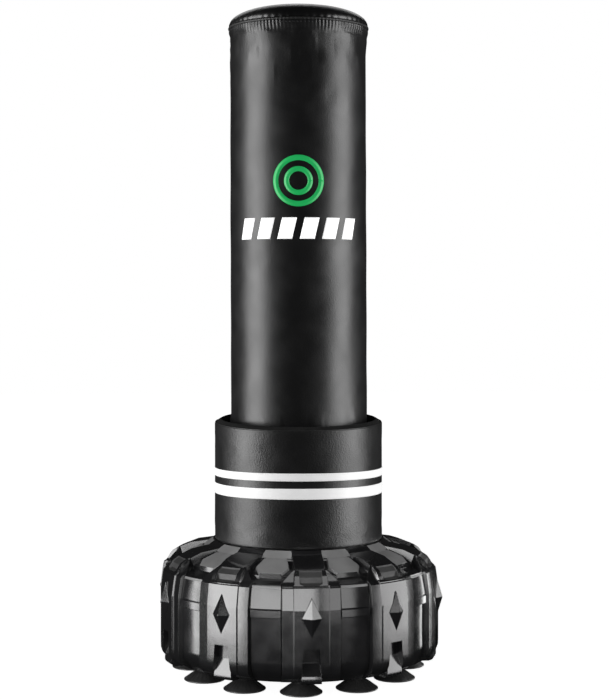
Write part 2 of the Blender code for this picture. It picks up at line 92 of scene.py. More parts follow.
COLLAR_INNER = COLLAR_RADIUS - COLLAR_WALL
PIVOT_Z = frame["joints"][0]["pos_m"][2]

# The photo's camera, turned from the front
VIEW_DEG = -5.1
VIEW_DISTANCE = 3.3
VIEW_HEIGHT = 0.78
VIEW_LENS_MM = 92.9
VIEW_SHIFT = (0.010, -0.092)

RIBS = 10
CUPS = 12
SECTOR_DEG = 360 / RIBS


def toward(angle_deg, radius=1.0, z=0.0):
    """The point at an angle turned from the front."""
    angle = math.radians(angle_deg - 90)
    return Vector((radius * math.cos(angle), radius * math.sin(angle), z))


# ---------------- materials


WHITE = (1.0, 1.0, 1.0, 1.0)
GREY = (0.8, 0.8, 0.8, 1.0)


class Shader:
    """A principled material whose nodes are added one call at a time."""

    def __init__(self, name, colour, roughness, metallic=0.0):
        """Start from one colour and one roughness, with textures placed by the object's own coordinates."""
        self.material = bpy.data.materials.new(name)
        self.material.use_nodes = True
        self.nodes = self.material.node_tree.nodes
        self.links = self.material.node_tree.links
        self.surface = self.nodes["Principled BSDF"]
        self.surface.inputs["Base Color"].default_value = (*colour, 1.0)
        self.surface.inputs["Roughness"].default_value = roughness
        self.surface.inputs["Metallic"].default_value = metallic
        self.place = self.nodes.new("ShaderNodeTexCoord").outputs["Object"]
        self.normal = None

    def add(self, kind, **inputs):
        """A new node whose inputs are each set to a value or linked to another node's output."""
        made = self.nodes.new("ShaderNode" + kind)
        for name, value in inputs.items():
            socket = made.inputs[name.replace("_", " ")]
            if isinstance(value, bpy.types.NodeSocket):
                self.links.new(value, socket)
            else:
                socket.default_value = value
        return made

    def noise(self, scale, detail=3.0, stretch=(1.0, 1.0, 1.0)):
        place = self.add("Mapping", Scale=stretch, Vector=self.place).outputs["Vector"]
        return self.add("TexNoise", Scale=scale, Detail=detail, Vector=place).outputs["Fac"]

    def cells(self, scale):
        return self.add("TexVoronoi", Scale=scale, Vector=self.place).outputs["Distance"]

    def waves(self, scale, axis):
        made = self.add("TexWave", Scale=scale, Distortion=0.6, Vector=self.place)
        made.bands_direction = axis
        return made.outputs["Fac"]

    def ranged(self, value, low, high):
        """Stretch the middle of a noise over a range."""
        made = self.add("MapRange", From_Min=0.3, From_Max=0.7, To_Min=low, To_Max=high, Value=value)
        return made.outputs["Result"]

    def vary_roughness(self, value, low, high):
        self.links.new(self.ranged(value, low, high), self.surface.inputs["Roughness"])

    def vary_colour(self, value, dark, light):
        made = self.nodes.new("ShaderNodeMix")
        made.data_type = "RGBA"
        made.inputs["A"].default_value = (*dark, 1.0)
        made.inputs["B"].default_value = (*light, 1.0)
        self.links.new(self.ranged(value, 0.0, 1.0), made.inputs["Factor"])
        self.links.new(made.outputs["Result"], self.surface.inputs["Base Color"])

    def bump(self, value, depth, strength):
        """Add one more layer of relief on top of those before it."""
        made = self.add("Bump", Distance=depth, Strength=strength, Height=value)
        if self.normal:
            self.links.new(self.normal, made.inputs["Normal"])
        self.normal = made.outputs["Normal"]
        self.links.new(self.normal, self.surface.inputs["Normal"])

    def set(self, **values):
        for name, value in values.items():
            self.surface.inputs[name.replace("_", " ")].default_value = value
        return self.material


def tinted(colour, factor):
    return tuple(min(1.0, part * factor) for part in colour)


def leather(name, dark, light, roughness, grain, relief=1.0):
    """Synthetic leather: fine pebbled grain, faint long creases and an uneven satin sheen."""
    made = Shader(name, dark, roughness)
    made.vary_colour(made.noise(9.0), dark, light)
    made.vary_roughness(made.noise(22.0), roughness - 0.04, roughness + 0.05)
    made.bump(made.noise(5.0, 2.0, (3.0, 3.0, 0.7)), 0.0006, 0.4)
    made.bump(made.cells(grain), 0.00022 * relief, 0.45)
    made.bump(made.noise(grain * 2.4, 4.0), 0.00012 * relief, 0.4)
    return made.set(Specular_IOR_Level=0.55)


def woven_cloth(name, colour):
    """Dull black cloth with a fine weave."""
    made = Shader(name, colour, 0.9)
    made.vary_colour(made.noise(60.0), colour, tinted(colour, 1.5))
    made.bump(made.waves(700.0, "DIAGONAL"), 0.0001, 0.5)
    made.bump(made.noise(900.0), 0.0001, 0.4)
    return made.set(Specular_IOR_Level=0.15)


def tank_plastic():
    """Gloss black blow-moulded plastic, with slight orange peel and faint scuffs."""
    made = Shader("tank_plastic_gloss", (0.004, 0.004, 0.0042), 0.2)
    made.vary_colour(made.noise(14.0), (0.003, 0.003, 0.0032), (0.005, 0.005, 0.0053))
    made.vary_roughness(made.noise(30.0, 5.0), 0.13, 0.20)
    made.bump(made.noise(26.0, 2.0), 0.0005, 0.3)
    made.bump(made.noise(420.0, 2.0), 0.00008, 0.5)
    return made.set(Specular_IOR_Level=0.6)


def tank_satin_painted_sheen():
    """The same plastic where the mould is grained: pads, ledges and the bevel at the collar's foot. The grain
    and the duller gloss are real, but the much lighter grey colour is a painted sheen.
    """
    made = Shader("tank_plastic_satin_painted_sheen", (0.08, 0.08, 0.08), 0.40)
    made.vary_colour(made.noise(18.0), (0.065, 0.065, 0.065), (0.095, 0.095, 0.095))
    made.vary_roughness(made.noise(40.0, 5.0), 0.34, 0.48)
    made.bump(made.noise(700.0, 3.0), 0.00012, 0.5)
    return made.set(Specular_IOR_Level=0.7)


def rubber(name, colour, roughness):
    made = Shader(name, colour, roughness)
    made.vary_colour(made.noise(40.0), colour, tinted(colour, 1.7))
    made.vary_roughness(made.noise(90.0), roughness - 0.06, roughness + 0.08)
    made.bump(made.noise(600.0), 0.0001, 0.4)
    return made.material


def white_tape():
    """White coated tape: a fine weave under the coating, and a little grime. It also glows a little, a
    painted light that keeps the white bright.
    """
    made = Shader("white_tape_woven", (0.60, 0.60, 0.60), 0.50)
    made.vary_colour(made.noise(35.0, 5.0), (0.57, 0.57, 0.57), (0.63, 0.63, 0.63))
    made.vary_roughness(made.noise(60.0), 0.36, 0.50)
    made.bump(made.waves(420.0, "Z"), 0.00008, 0.5)
    made.bump(made.noise(900.0), 0.00006, 0.4)
    return made.set(Emission_Color=WHITE, Emission_Strength=0.30)


def thread(name, colour):
    made = Shader(name, colour, 0.55)
    made.bump(made.waves(900.0, "DIAGONAL"), 0.0001, 0.7)
    made.vary_roughness(made.noise(300.0), 0.5, 0.7)
    return made.material


def print_ink(name, colour, glow):
    """A printed ink that also glows with its own colour: painted light that keeps it bright away from the
    highlights.
    """
    made = Shader(name, colour, 0.40)
    made.vary_colour(made.noise(50.0), colour, tinted(colour, 1.08))
    made.vary_roughness(made.noise(80.0), 0.36, 0.48)
    made.bump(made.cells(620.0), 0.0001, 0.35)
    return made.set(Emission_Color=(*colour, 1.0), Emission_Strength=glow)


def coated_steel(name, colour, roughness):
    made = Shader(name, colour, roughness, 0.5)
    made.vary_roughness(made.noise(120.0), roughness - 0.06, roughness + 0.1)
    made.bump(made.noise(700.0), 0.00008, 0.6)
    return made.material


def bare_steel(name, colour, roughness):
    made = Shader(name, colour, roughness, 1.0)
    made.vary_roughness(made.noise(60.0, 4.0, (1.0, 1.0, 12.0)), roughness - 0.08, roughness + 0.1)
    made.vary_colour(made.noise(25.0), colour, tinted(colour, 0.8))
    made.bump(made.noise(200.0, 3.0, (1.0, 1.0, 20.0)), 0.00005, 0.5)
    return made.material


def foam(name, colour):
    made = Shader(name, colour, 0.95)
    made.vary_colour(made.cells(500.0), tinted(colour, 0.7), colour)
    made.bump(made.cells(500.0), 0.0005, 0.8)
    return made.material


def board():
    made = Shader("board_wood", (0.42, 0.30, 0.18), 0.75)
    made.vary_colour(made.noise(18.0, 5.0, (1.0, 9.0, 1.0)), (0.33, 0.22, 0.12), (0.50, 0.37, 0.23))
    made.bump(made.noise(60.0, 4.0, (1.0, 12.0, 1.0)), 0.0003, 0.5)
    return made.material


def moulded_plastic(name, colour, roughness):
    made = Shader(name, colour, roughness)
    made.vary_roughness(made.noise(150.0), roughness - 0.05, roughness + 0.08)
    made.bump(made.noise(500.0), 0.00012, 0.5)
    return made.material


BAG_LEATHER = leather("bag_leather_skin", (0.0045, 0.0045, 0.0047), (0.0065, 0.0065, 0.0068), 0.37, 420.0)
CAP_LEATHER = leather("cap_leather_skin", (0.004, 0.004, 0.0042), (0.006, 0.006, 0.0063), 0.30, 420.0)
WELT_LEATHER = leather("welt_leather_skin", (0.007, 0.007, 0.007), (0.011, 0.011, 0.011), 0.55, 700.0)
COLLAR_LEATHER = leather(
    "collar_leather_skin", (0.0055, 0.0055, 0.0057), (0.008, 0.008, 0.0083), 0.38, 330.0, relief=2.6
)
RIM_CLOTH = woven_cloth("collar_rim_cloth", (0.007, 0.007, 0.007))
PIPING = leather("collar_piping", (0.008, 0.008, 0.008), (0.014, 0.014, 0.014), 0.45, 700.0)
TANK_PLASTIC = tank_plastic()
TANK_SATIN_PAINTED_SHEEN = tank_satin_painted_sheen()
TANK_RECESS = rubber("tank_plastic_recess", (0.005, 0.005, 0.005), 0.55)
CUP_RUBBER = rubber("cup_rubber_matte", (0.007, 0.007, 0.007), 0.34)
GASKET_RUBBER = rubber("gasket_rubber_matte", (0.012, 0.012, 0.012), 0.60)
BUFFER_RUBBER = rubber("buffer_rubber_red", (0.30, 0.045, 0.03), 0.50)
WHITE_TAPE = white_tape()
DARK_THREAD = thread("dark_thread", (0.045, 0.045, 0.047))
WHITE_THREAD = thread("white_thread", (0.75, 0.75, 0.74))
# The glow of both inks is painted light.
GREEN_INK = print_ink("green_ink", (0.008, 0.30, 0.072), 0.50)
WHITE_INK = print_ink("white_ink", (0.84, 0.84, 0.84), 0.55)
BLACK_STEEL = coated_steel("black_coated_steel", (0.03, 0.03, 0.032), 0.40)
SPRING_STEEL = coated_steel("oiled_spring_steel", (0.10, 0.10, 0.11), 0.32)
TUBE_STEEL = bare_steel("drawn_tube_steel", (0.55, 0.56, 0.58), 0.35)
ZINC_STEEL = bare_steel("zinc_plated_steel", (0.62, 0.63, 0.65), 0.30)
PADDING = foam("padding_foam", (0.30, 0.30, 0.31))
BOARDING = board()
BLACK_PLASTIC = moulded_plastic("black_moulded_plastic", (0.03, 0.03, 0.03), 0.42)

# ---------------- mesh helpers


def fitted(obj, body, slot=None, *nodes):
    """Let a piece ride on a body and let it stand for CAD nodes, which it hides. The slot is not used."""
    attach(obj, body)
    if nodes:
        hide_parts(*nodes)


def placed(name, data):
    """A new object in the scene."""
    made = bpy.data.objects.new(name, data)
    bpy.context.scene.collection.objects.link(made)
    return made


def add_mesh(name, points, faces, material, smooth=True):
    mesh = bpy.data.meshes.new(name)
    mesh.from_pydata([tuple(p) for p in points], [], faces)
    mesh.materials.append(material)
    if smooth:
        mesh.shade_smooth()
    return placed(name, mesh)


def grid_faces(rows, columns, wrap):
    """Quads over a grid whose rows run outward or down and whose columns run round."""
    across = columns if wrap else columns - 1
    faces = []
    for r in range(rows - 1):
        for c in range(across):
            after = (c + 1) % columns
            here = r * columns
            below = here + columns
            faces.append((here + c, below + c, below + after, here + after))
    return faces


def closed_faces(rows):
    """The faces of a tube of rows, with a flat face over each end."""
    columns = len(rows[0])
    faces = grid_faces(len(rows), columns, True)
    faces.append(tuple(range(columns)))
    faces.append(tuple(range((len(rows) - 1) * columns, len(rows) * columns))[::-1])
    return faces


def add_grid(name, points, material, wrap=True):
    """A surface from points[row, column, xyz]."""
    rows, columns = points.shape[:2]
    return add_mesh(name, points.reshape(-1, 3), grid_faces(rows, columns, wrap), material)


def on_tube(radius, angles, levels):
    """Points at radius[row, column], with a row for each level and a column for each angle."""
    height = np.repeat(np.reshape(levels, (-1, 1)), len(angles), 1)
    return np.stack([radius * np.cos(angles), radius * np.sin(angles), height], 2)


def face_outward(obj, weld=0.0):
    """Turn every face outward, after welding points that are closer than the weld distance."""
    shape = bmesh.new()
    shape.from_mesh(obj.data)
    if weld:
        bmesh.ops.remove_doubles(shape, verts=shape.verts, dist=weld)
    bmesh.ops.recalc_face_normals(shape, faces=shape.faces)
    shape.to_mesh(obj.data)
    shape.free()
    return obj


def turned(name, profile, material, steps=96, wobble=None, centre=(0.0, 0.0), closed=False):
    """A solid or shell of revolution about Z. A profile point on the axis closes that end."""
    angles = np.linspace(0, 2 * math.pi, steps, endpoint=False)
    line = np.array(profile + [profile[0]] if closed else profile, float)
    radius = np.repeat(line[:, :1], steps, 1)
    level = np.repeat(line[:, 1:], steps, 1)
    if wobble:
        radius = radius + wobble(angles[None, :], level)
    points = np.stack([centre[0] + radius * np.cos(angles), centre[1] + radius * np.sin(angles), level], 2)
    return face_outward(add_grid(name, points, material), weld=0.00002)


def arc(centre, radius, start_deg, end_deg, points):
    """Points of a round stretch in a profile."""
    angles = [math.radians(start_deg + (end_deg - start_deg) * i / (points - 1)) for i in range(points)]
    return [(centre[0] + radius * math.cos(a), centre[1] + radius * math.sin(a)) for a in angles]


def spaced(low, high, count):
    return [low + (high - low) * i / (count - 1) for i in range(count)]


def thicken(obj, depth):
    made = obj.modifiers.new("thickness", "SOLIDIFY")
    made.thickness = depth
    made.offset = 0.0


def stitched(name, places, size, material):
    """One mesh of short raised stitches. Each place is (centre, along, outward)."""
    length, width, depth = size
    template = bmesh.new()
    bmesh.ops.create_uvsphere(template, u_segments=6, v_segments=4, radius=1.0)
    knob = np.array([v.co for v in template.verts])
    knob_faces = [[v.index for v in f.verts] for f in template.faces]
    template.free()
    points, faces = [], []
    for centre, along, outward in places:
        along = Vector(along).normalized()
        outward = Vector(outward).normalized()
        side = along.cross(outward)
        start = len(points)
        axes = np.array([side * width / 2, outward * depth, along * length / 2])
        points.extend(knob @ axes + np.array(centre))
        faces.extend([[start + i for i in face] for face in knob_faces])
    return add_mesh(name, points, faces, material)


def ring_of_stitches(radius, z, pitch):
    count = round(2 * math.pi * radius / pitch)
    places = []
    for i in range(count):
        out = toward(i * 360 / count)
        places.append((out * radius + Vector((0, 0, z)), out.cross(Vector((0, 0, 1))), out))
    return places


def column_of_stitches(angle_deg, radius, low, high, pitch):
    count = int((high - low) / pitch)
    out = toward(angle_deg)
    return [(out * radius + Vector((0, 0, low + (i + 0.5) * pitch)), (0, 0, 1), out) for i in range(count)]


def middle_of(low, high):
    """The middle of a box, seen from above."""
    return ((low.x + high.x) / 2, (low.y + high.y) / 2)


# ---------------- cloth


CLOTH_FRAMES = 20


def settle_tube(radius, low, high, columns, rows, excess, cap):
    """How far padded fabric stretched round a tube swells or dips, by row and column, from a short cloth run.

    The fabric is a little too big for the padding, so pressure from inside leaves it softly uneven.
    """
    angles = np.linspace(0, 2 * math.pi, columns, endpoint=False)
    levels = np.linspace(high, low, rows)
    uneven = 0.00025 * np.sin(3 * angles[None, :] + 9 * levels[:, None]) * np.sin(31 * levels[:, None])
    uneven = uneven + 0.00012 * np.sin(7 * angles[None, :] - 23 * levels[:, None])
    sheet = add_grid("cloth_run", on_tube(radius + uneven, angles, levels), BAG_LEATHER)
    pins = sheet.vertex_groups.new(name="pins")
    held = list(range(columns)) + list(range((rows - 1) * columns, rows * columns))
    pins.add(held, 1.0, "REPLACE")
    cloth = sheet.modifiers.new("cloth", "CLOTH")
    cloth.collision_settings.use_collision = False
    settings = cloth.settings
    settings.effector_weights.gravity = 0.0
    settings.vertex_group_mass = "pins"
    settings.quality = 4
    settings.mass = 0.25
    settings.tension_stiffness = 18
    settings.compression_stiffness = 18
    settings.bending_stiffness = 2.0
    settings.shrink_min = -excess
    settings.use_pressure = True
    settings.uniform_pressure_force = 4.0
    scene = bpy.context.scene
    for number in range(1, CLOTH_FRAMES + 1):
        scene.frame_set(number)
    graph = bpy.context.evaluated_depsgraph_get()
    settled = sheet.evaluated_get(graph).data
    co = np.zeros(len(settled.vertices) * 3, np.float32)
    settled.vertices.foreach_get("co", co)
    co = co.reshape(rows, columns, 3)
    scene.frame_set(1)
    bpy.data.objects.remove(sheet)
    swell = np.hypot(co[:, :, 0], co[:, :, 1]) - radius
    swell = swell - swell.mean(1, keepdims=True)
    return angles, levels, np.clip(swell, -cap, cap) + uneven


def sampled(field, angles, levels):
    """The value of a settle_tube() result at other angles and levels."""
    field_angles, field_levels, swell = field
    columns = len(field_angles)
    across = np.mod(angles, 2 * math.pi) / (2 * math.pi) * columns
    low = np.floor(across).astype(int) % columns
    part = across - np.floor(across)
    around = swell[:, low] * (1 - part) + swell[:, (low + 1) % columns] * part
    step = (field_levels[0] - levels) / (field_levels[0] - field_levels[-1]) * (len(field_levels) - 1)
    step = np.clip(step, 0, len(field_levels) - 1.001)
    row = step.astype(int)
    share = (step - row)[:, None]
    return around[row] * (1 - share) + around[row + 1] * share


# ---------------- bag

PLEATS = 118
PLEAT_LENGTH = 0.026
GATHER_DEPTH = 0.0012
HEM_DEPTH = 0.006


def smooth_step(value):
    value = np.clip(value, 0, 1)
    return value * value * (3 - 2 * value)


def skin_radius(levels):
    """The padded tube swells a little to the gathered rim at its top and turns in at the hem."""
    top = smooth_step((levels - (BAG_HIGH - 0.018)) / 0.013)
    hem = np.clip((BAG_LOW + HEM_DEPTH - levels) / HEM_DEPTH, 0, 1)
    turn_in = HEM_DEPTH * (1 - np.sqrt(np.clip(1 - hem**2, 0, 1)))
    return BAG_RADIUS + (RIM_RADIUS - BAG_RADIUS) * top - turn_in


def gathers(angles, levels):
    """Short uneven pleats that fade out below the seam."""
    depth = smooth_step((levels[:, None] - (BAG_HIGH - PLEAT_LENGTH)) / PLEAT_LENGTH)
    uneven = 0.62 + 0.38 * np.sin(5 * angles + 1.3 * np.sin(13 * angles))
    slant = 0.9 * np.sin(3 * angles)
    lean = (levels[:, None] - BAG_HIGH) / PLEAT_LENGTH * slant
    fold = np.sin(PLEATS * angles + lean)
    return -GATHER_DEPTH * depth * uneven * (0.5 - 0.5 * fold) ** 1.4


BAG_FIELD = settle_tube(BAG_RADIUS, BAG_LOW, BAG_HIGH, 128, 120, 0.012, 0.0012)


def bag_skin():
    """The tube of leather, with its pleats at the top and its hem turned in under the padding."""
    angles = np.linspace(0, 2 * math.pi, PLEATS * 6, endpoint=False)
    top_rows = spaced(BAG_HIGH, BAG_HIGH - PLEAT_LENGTH, 13)
    side_rows = spaced(BAG_HIGH - PLEAT_LENGTH, BAG_LOW + HEM_DEPTH, 60)[1:]
    hem_rows = [BAG_LOW + HEM_DEPTH * share for share in (0.8, 0.6, 0.4, 0.2, 0.08, 0.0)]
    levels = np.array(top_rows + side_rows + hem_rows)
    fade = smooth_step((levels - BAG_LOW) / 0.04) * smooth_step((BAG_HIGH - levels) / 0.02)
    radius = skin_radius(levels)[:, None] + sampled(BAG_FIELD, angles, levels) * fade[:, None]
    radius = radius + gathers(angles, levels)
    points = on_tube(radius, angles, levels)
    under = points[-1:].copy()
    under[:, :, :2] *= (BAG_RADIUS - 0.022) / np.hypot(under[:, :, 0], under[:, :, 1])[:, :, None]
    skin = face_outward(add_grid("bag_skin", np.concatenate([points, under]), BAG_LEATHER))
    fitted(skin, "bag", "bag_leather", "bag_cover")


def bag_cap():
    """The domed top panel: full at the shoulder and easing off to a low crown."""
    rim = RIM_RADIUS - 0.0006
    height = BAG_TOP - SEAM_Z
    profile = []
    for i in range(29):
        angle = math.pi / 2 * i / 28
        radius = rim * math.sin(angle) ** 0.86
        profile.append((radius, SEAM_Z + 0.0012 + (height - 0.0012) * math.cos(angle) ** 0.92))
    profile.append((rim - 0.0020, SEAM_Z - 0.0010))
    profile.append((rim - 0.0060, SEAM_Z - 0.0016))

    def puckers(angles, levels):
        near_seam = np.clip(1 - (levels - SEAM_Z) / 0.020, 0, 1) ** 2
        sag = 0.0004 * np.sin(4 * angles + 1.0) + 0.0003 * np.sin(9 * angles)
        return near_seam * (0.0005 * np.sin(PLEATS / 2 * angles) + sag)

    cap = turned("bag_cap", profile, CAP_LEATHER, steps=PLEATS * 3, wobble=puckers)
    fitted(cap, "bag", "bag_leather", "top_cover", "top_pad")


def bag_welt():
    """The piping in the seam under the dome, rippled by the pleats, and the row of stitches below it."""
    low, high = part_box("top_welt")

    def ripple(angles, _levels):
        return 0.00035 * np.sin(PLEATS * angles) + 0.0002 * np.sin(17 * angles)

    profile = arc((RIM_RADIUS - 0.0016, (low.z + high.z) / 2), (high.z - low.z) / 2, 90, 450, 13)
    welt = turned("bag_welt", profile, WELT_LEATHER, steps=PLEATS * 4, wobble=ripple)
    fitted(welt, "bag", "welt_leather", "top_welt")
    places = ring_of_stitches(RIM_RADIUS - 0.0004, BAG_HIGH - 0.0042, 0.0075)
    fitted(stitched("bag_seam_stitches", places, (0.0046, 0.0011, 0.0007), DARK_THREAD), "bag")


def bag_back_seam():
    """The lap where the tube is sewn shut, down the back, with two rows of stitches."""
    half_deg = 5.0
    stitch_deg = half_deg * 0.62
    low = BAG_LOW + 0.004
    high = BAG_HIGH - PLEAT_LENGTH - 0.002
    angles = np.radians(np.linspace(180 - half_deg, 180 + half_deg, 9) - 90)
    levels = np.linspace(high, low, 70)
    swell = sampled(BAG_FIELD, angles, levels)
    edge = 1 - np.abs(np.linspace(-1, 1, 9)) ** 8
    radius = BAG_RADIUS + swell + 0.0002 + 0.0009 * edge[None, :]
    points = on_tube(radius, angles, levels)
    lap = face_outward(add_grid("bag_back_lap", points, BAG_LEATHER, wrap=False))
    thicken(lap, 0.0008)
    fitted(lap, "bag", "bag_leather")
    places = []
    for angle_deg in (180 - stitch_deg, 180 + stitch_deg):
        places += column_of_stitches(angle_deg, BAG_RADIUS + 0.0016, low + 0.01, high - 0.01, 0.007)
    fitted(stitched("bag_back_stitches", places, (0.0048, 0.0011, 0.0008), DARK_THREAD), "bag")


def printed_patch(name, outline_rows, material):
    """A thin print on the bag's front, facing the photo's camera. Rows hold (across, z) points in metres."""
    rows = []
    for row in outline_rows:
        line = []
        for across, z in row:
            angle = math.radians(VIEW_DEG - 90) + across / BAG_RADIUS
            swell = sampled(BAG_FIELD, np.array([angle]), np.array([z]))[0, 0]
            radius = BAG_RADIUS + swell + 0.0004
            line.append((radius * math.cos(angle), radius * math.sin(angle), z))
        rows.append(line)
    patch = face_outward(add_grid(name, np.array(rows), material, wrap=False))
    thicken(patch, 0.0003)
    fitted(patch, "bag")


EMBLEM_Z = 1.008
EMBLEM_RADIUS = 0.052
EMBLEM_LINE = 0.011
BAR_LOW = 0.891
BAR_HIGH = 0.934
BAR_HALF = 0.137
BLOCKS = 6
BLOCK_SHARE = 0.66
BLOCK_SLANT = 0.010


def bag_print():
    """A plain green ring over a row of plain white slanted blocks."""
    turns = [2 * math.pi * i / 96 for i in range(97)]

    def circle(radius):
        return [(radius * math.cos(a), EMBLEM_Z + radius * math.sin(a)) for a in turns]

    printed_patch("print_ring", [circle(EMBLEM_RADIUS), circle(EMBLEM_RADIUS - EMBLEM_LINE)], GREEN_INK)
    printed_patch("print_ring_inner", [circle(EMBLEM_RADIUS * 0.56), circle(EMBLEM_RADIUS * 0.36)], GREEN_INK)
    pitch = 2 * BAR_HALF / BLOCKS
    for i in range(BLOCKS):
        left = -BAR_HALF + (i + (1 - BLOCK_SHARE) / 2) * pitch
        rows = []
        for share in spaced(0.0, 1.0, 9):
            lean = BLOCK_SLANT * (share - 0.5)
            z = BAR_LOW + (BAR_HIGH - BAR_LOW) * share
            rows.append([(x + lean, z) for x in spaced(left, left + pitch * BLOCK_SHARE, 9)])
        printed_patch(f"print_block_{i + 1}", rows, WHITE_INK)


# ---------------- collar

COLLAR_CAP = 0.0006
COLLAR_FIELD = settle_tube(COLLAR_RADIUS, COLLAR_LOW, COLLAR_HIGH, 120, 40, 0.010, COLLAR_CAP)
RIM_RISE = 0.011
BAND_RISE = 0.0038


def collar_swell(angles, levels):
    """The sleeve's slight unevenness. Near the top, where the ring holds it, there is none."""
    level = levels[:, 0]
    loose = 0.45 * (1 - smooth_step((level - COLLAR_HIGH + 0.050) / 0.035))
    return loose[:, None] * (sampled(COLLAR_FIELD, angles[0], level) - COLLAR_CAP)


def round_collar(name, profile, material):
    return turned(name, profile, material, steps=300, wobble=collar_swell)


def turn_from_view(place):
    """The angle of a point round the axis, from 0 where it faces the photo's camera."""
    return math.atan2(place.x, -place.y) - math.radians(VIEW_DEG)


def rim_lift(made):
    """The padded rim stands a little higher behind than in front."""
    for vertex in made.data.vertices:
        near_top = smooth_step((vertex.co.z - COLLAR_HIGH + 0.090) / 0.085)
        vertex.co.z += near_top * RIM_RISE * (1 - math.cos(turn_from_view(vertex.co))) / 2


def band_lift(made):
    """The white bands are sewn a touch higher in front and behind than at the sides."""
    for vertex in made.data.vertices:
        vertex.co.z += BAND_RISE * math.cos(turn_from_view(vertex.co)) ** 2


def collar_sleeve():
    """The leather sleeve, rounded at its top edge and turned in at its foot."""
    edge = 0.0025
    outer = COLLAR_RADIUS - 0.0002
    side = [(outer, z) for z in spaced(COLLAR_HIGH - edge - 0.006, COLLAR_LOW + 0.003, 64)]
    top = arc((outer - edge, COLLAR_HIGH - edge - 0.0052), edge, 80, 4, 8)
    foot = [(outer - 0.0008, COLLAR_LOW + 0.001), (outer - 0.003, COLLAR_LOW)]
    sleeve = round_collar("collar_sleeve", top + side + foot, COLLAR_LEATHER)
    rim_lift(sleeve)
    fitted(sleeve, "base", "collar_leather", "collar_cover")


def collar_rim():
    """The dark cloth over the collar's top and inner wall, and the piping where it meets the sleeve."""
    high = COLLAR_HIGH - 0.0008
    crown = [
        (COLLAR_RADIUS - 0.0018, high - 0.0044),
        (COLLAR_RADIUS - 0.0055, high - 0.0014),
        (COLLAR_RADIUS - 0.0095, high + 0.0014),
        (COLLAR_RADIUS - 0.0120, high + 0.0026),
    ]
    bend = arc((COLLAR_INNER + 0.0078, high - 0.0010), 0.0040, 80, 180, 7)
    wall = [(COLLAR_INNER - 0.0005, z) for z in spaced(high - 0.016, COLLAR_LOW + 0.002, 30)]
    rim = round_collar("collar_rim", crown + bend + wall, RIM_CLOTH)
    rim_lift(rim)
    fitted(rim, "base", "collar_leather")
    cord = arc((COLLAR_RADIUS - 0.0020, COLLAR_HIGH - 0.0050), 0.0012, 0, 360, 9)
    piping = round_collar("collar_piping", cord, PIPING)
    rim_lift(piping)
    fitted(piping, "base", "welt_leather")


def collar_stripe(node):
    """One white band, with a row of stitches along each edge."""
    hem = 0.0007
    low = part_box(node)[0].z + hem
    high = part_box(node)[1].z - hem
    outer = COLLAR_RADIUS + 0.0009
    profile = [(outer - 0.0012, high), (outer - 0.0003, high - 0.0002)]
    profile += [(outer, z) for z in spaced(high - 0.0010, low + 0.0010, 8)]
    profile += [(outer - 0.0003, low + 0.0002), (outer - 0.0012, low)]
    stripe = round_collar(node + "_tape", profile, WHITE_TAPE)
    band_lift(stripe)
    fitted(stripe, "base", "white_tape", node)
    places = []
    for z in (low + 0.0022, high - 0.0022):
        places += ring_of_stitches(COLLAR_RADIUS + 0.0004, z, 0.0052)
    stitches = stitched(node + "_stitches", places, (0.0034, 0.0008, 0.0005), WHITE_THREAD)
    band_lift(stitches)
    fitted(stitches, "base")


def collar_closing():
    """The hook-and-loop flap down the back of the collar, with stitches round its edge."""
    half_deg = 6.0
    stitch_deg = half_deg * 0.8
    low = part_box("collar_flap")[0].z
    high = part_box("collar_flap")[1].z
    across = np.linspace(-1, 1, 15)
    angles = np.radians(180 + half_deg * across - 90)
    levels = np.linspace(high, low, 40)
    edge = (1 - np.abs(across) ** 10)[None, :] * (1 - np.abs(np.linspace(-1, 1, 40)) ** 30)[:, None]
    ripple = 0.0003 * np.sin(60 * levels)[:, None] * np.sin(2 * across)[None, :]
    points = on_tube(COLLAR_RADIUS + 0.0008 + 0.0018 * edge + ripple, angles, levels)
    flap = face_outward(add_grid("collar_flap_strap", points, COLLAR_LEATHER, wrap=False))
    thicken(flap, 0.0010)
    fitted(flap, "base", "collar_leather", "collar_flap")
    places = []
    for angle_deg in (180 - stitch_deg, 180 + stitch_deg):
        places += column_of_stitches(angle_deg, COLLAR_RADIUS + 0.0031, low + 0.006, high - 0.006, 0.006)
    fitted(stitched("collar_flap_stitches", places, (0.0042, 0.0010, 0.0006), DARK_THREAD), "base")


# ---------------- tank

MIDDLE = SECTOR_DEG / 2


class Level:
    """One row of the tank: where the rib, its side strips, the groove, the panel and any inlay stand.

    Each of them has a place (radius, z). The halves are half widths, and the panel starts at panel_deg.
    """

    def __init__(self, rib, strip, groove, panel, inlay=None, *,
                 rib_half, strip_half, panel_deg, inlay_half=0.014):
        self.rib = rib
        self.strip = strip
        self.groove = groove
        self.panel = panel
        self.inlay = inlay or rib
        self.inlay_half = inlay_half
        self.rib_half = rib_half
        self.strip_half = strip_half
        self.panel_deg = panel_deg

    def half_sector(self):
        """Points from the middle of a rib to the middle of the panel beside it, as (outward, across, z)."""
        strip_in = self.rib_half + 0.0016
        groove_in = math.degrees(math.atan2(self.strip_half + 0.0016, self.groove[0]))
        groove_out = max(self.panel_deg - 0.4, groove_in + 0.1)
        panel_in = max(self.panel_deg, groove_out + 0.1)
        points = [rounded(self.inlay, share * self.inlay_half) for share in (0.0, 0.5, 1.0)]
        inlay_out = self.inlay_half + 0.0012
        for across in (inlay_out, (inlay_out + self.rib_half) / 2, self.rib_half):
            points.append(rounded(self.rib, across))
        for across in (strip_in, (strip_in + self.strip_half) / 2, self.strip_half):
            points.append(rounded(self.strip, across))
        for angle in (groove_in, groove_out):
            points.append(polar(angle, *self.groove))
        for angle in (panel_in, (panel_in + MIDDLE) / 2, MIDDLE):
            points.append(polar(angle, *self.panel))
        return points


def rounded(level, across):
    """A point beside a rib's middle on the round wall at a level of (radius, z)."""
    return (math.sqrt(level[0] ** 2 - across**2), across, level[1])


